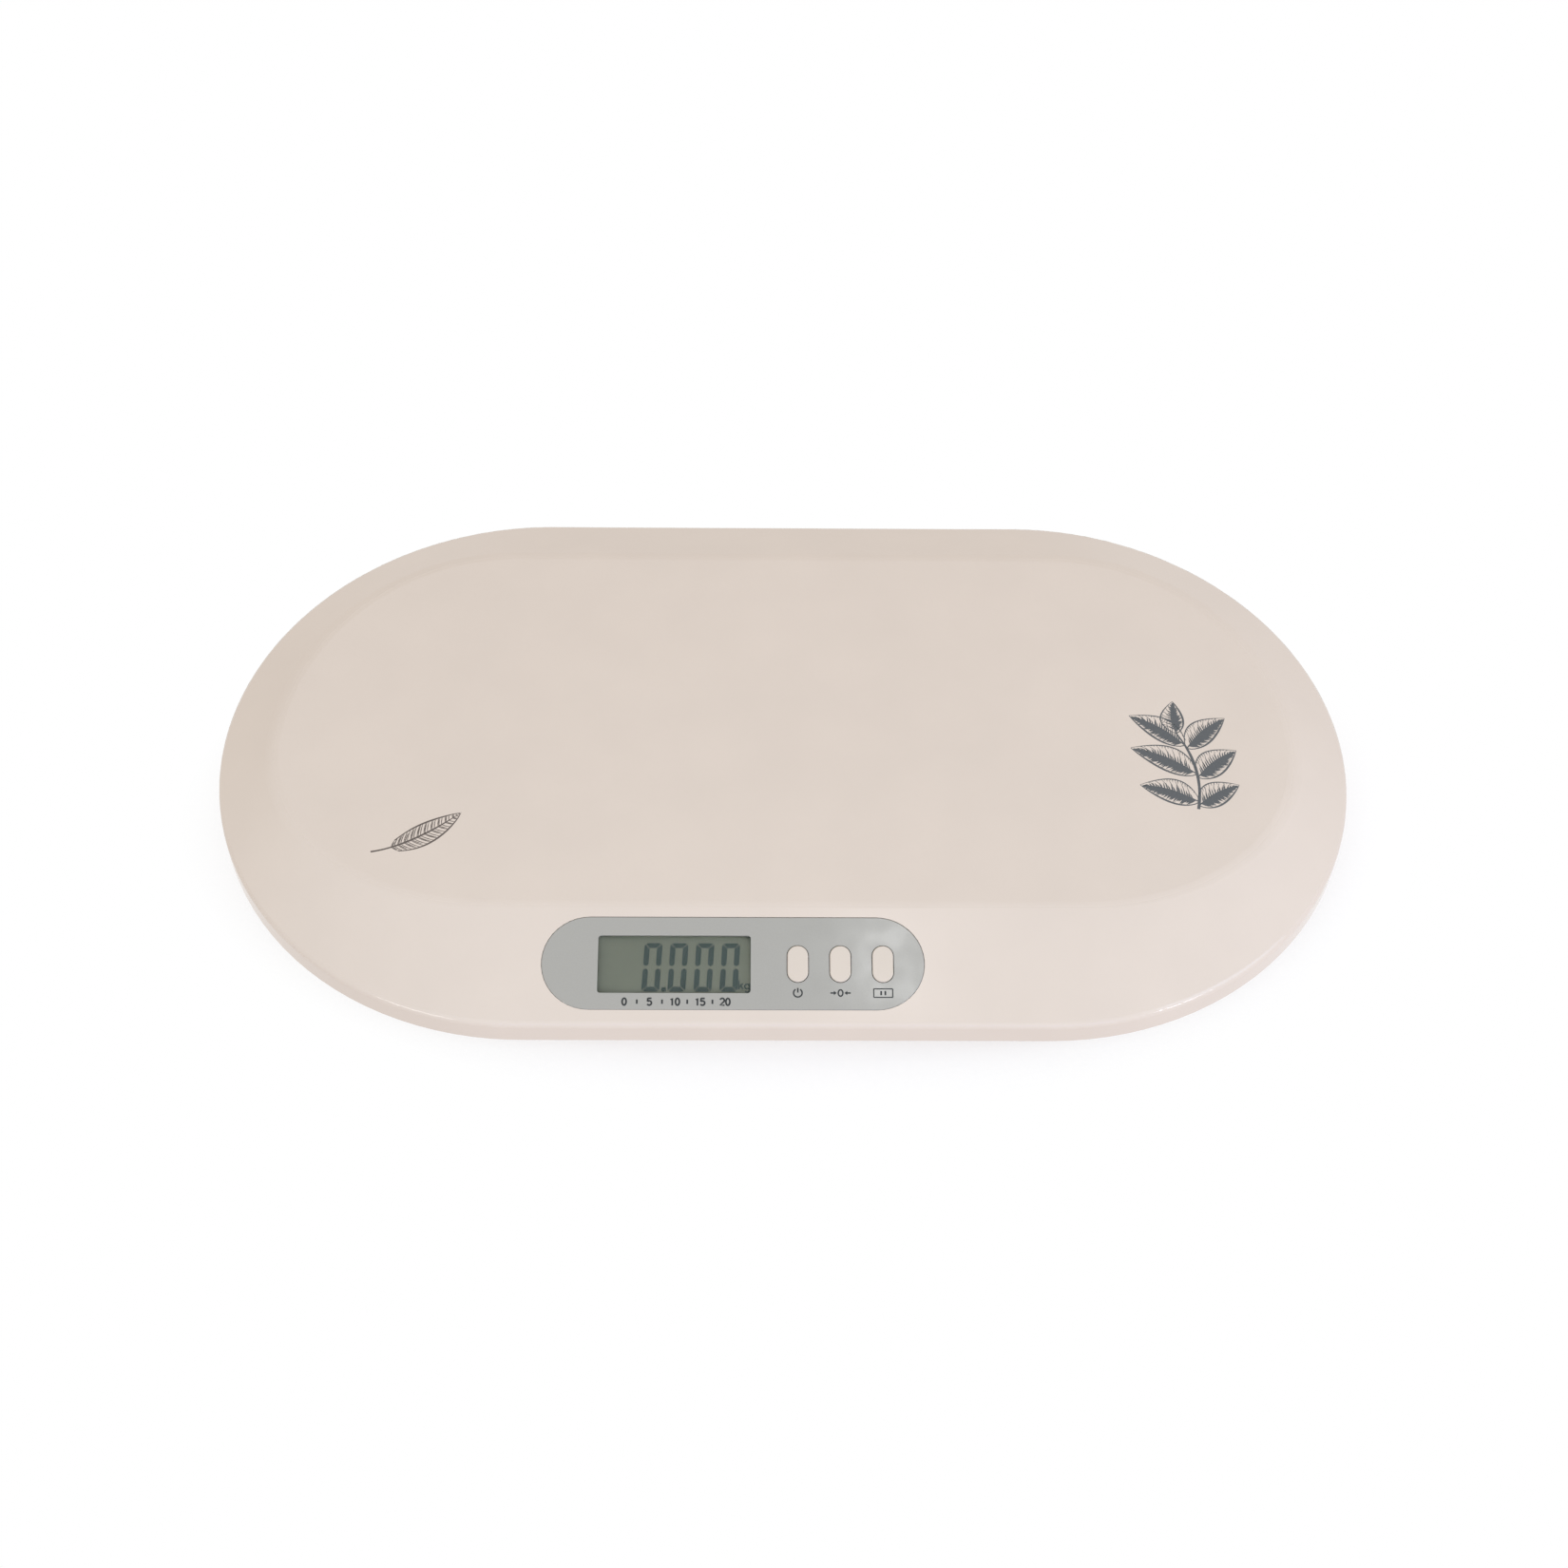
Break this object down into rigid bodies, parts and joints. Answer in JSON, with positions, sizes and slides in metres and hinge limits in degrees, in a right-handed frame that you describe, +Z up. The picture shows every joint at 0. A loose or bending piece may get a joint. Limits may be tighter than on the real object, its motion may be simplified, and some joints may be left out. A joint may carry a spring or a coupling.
{
  "type": "digital baby weighing scale",
  "caption": "Oval baby scale with a flat raised deck, a display panel with push keys on the front slope, and load-cell feet.",
  "frame": {"origin": "centre of the footprint, on the surface that the feet stand on", "axes": "+X along the platform to the right of someone reading the display, +Y from the display to the back, +Z up"},
  "size_m": [0.55, 0.3086, 0.0503],
  "materials": {
    "platform_white": "satin moulded ABS",
    "base_white": "fine textured moulded ABS",
    "panel_grey": "gloss",
    "clear_lens": "clear polycarbonate window",
    "gasket_black": "foam",
    "lcd_glass": "liquid crystal cell, reflective",
    "holder_white": "moulded",
    "zebra_rubber": "striped silicone",
    "board_green": "solder mask on glass fibre",
    "connector_white": "nylon",
    "screw_steel": "zinc plated",
    "battery_steel": "plain sleeve",
    "contact_nickel": "nickel plated spring steel",
    "gauge_silicone": "white silicone",
    "button_white": "satin",
    "plunger_black": "moulded",
    "switch_black": "moulded",
    "pad_rubber": "anti-slip",
    "cup_white": "moulded",
    "frame_white": "moulded",
    "cell_steel": "stamped",
    "lead_black": "sleeved wires"
  },
  "bodies": {
    "housing": {"battery_1": "battery_steel", "battery_2": "battery_steel", "battery_3": "battery_steel", "battery_contacts": "contact_nickel", "battery_lead": "lead_black", "board_connectors": "connector_white", "board_screws": "screw_steel", "bottom_base": "base_white", "case_screws": "screw_steel", "cell_frame_back_left": "frame_white", "cell_frame_back_right": "frame_white", "cell_frame_front_left": "frame_white", "cell_frame_front_right": "frame_white", "cell_lead_back_left": "lead_black", "cell_lead_back_right": "lead_black", "cell_lead_front_left": "lead_black", "cell_lead_front_right": "lead_black", "display_lens": "clear_lens", "display_panel": "panel_grey", "foot_cup_back_left": "cup_white", "foot_cup_back_right": "cup_white", "foot_cup_front_left": "cup_white", "foot_cup_front_right": "cup_white", "foot_pad_back_left": "pad_rubber", "foot_pad_back_right": "pad_rubber", "foot_pad_front_left": "pad_rubber", "foot_pad_front_right": "pad_rubber", "gauge_coatings": "gauge_silicone", "lcd_gasket": "gasket_black", "lcd_glass": "lcd_glass", "lcd_holder": "holder_white", "load_cell_back_left": "cell_steel", "load_cell_back_right": "cell_steel", "load_cell_front_left": "cell_steel", "load_cell_front_right": "cell_steel", "main_board": "board_green", "switch_hold": "switch_black", "switch_power": "switch_black", "switch_tare": "switch_black", "top_tray": "platform_white", "zebra_strips": "zebra_rubber"},
    "power_key": {"button_power": "button_white", "plunger_power": "plunger_black"},
    "tare_key": {"button_tare": "button_white", "plunger_tare": "plunger_black"},
    "hold_key": {"button_hold": "button_white", "plunger_hold": "plunger_black"},
    "battery_cover": {"battery_door": "base_white"}
  },
  "joints": [
    {"name": "power_press", "type": "slide", "parent": "housing", "child": "power_key", "axis": [0, 0.2768, -0.9609], "range_m": [0, 0.0006], "stiffness_N_per_m": 1500, "springref_m": -0.0002},
    {"name": "tare_press", "type": "slide", "parent": "housing", "child": "tare_key", "axis": [0, 0.2768, -0.9609], "range_m": [0, 0.0006], "stiffness_N_per_m": 1500, "springref_m": -0.0002},
    {"name": "hold_press", "type": "slide", "parent": "housing", "child": "hold_key", "axis": [0, 0.2768, -0.9609], "range_m": [0, 0.0006], "stiffness_N_per_m": 1500, "springref_m": -0.0002},
    {"name": "cover_tilt", "type": "hinge", "parent": "housing", "child": "battery_cover", "pos_m": [0, 0.00975, 0.007], "axis": [-1, 0, 0], "range_deg": [0, 75]}
  ]
}
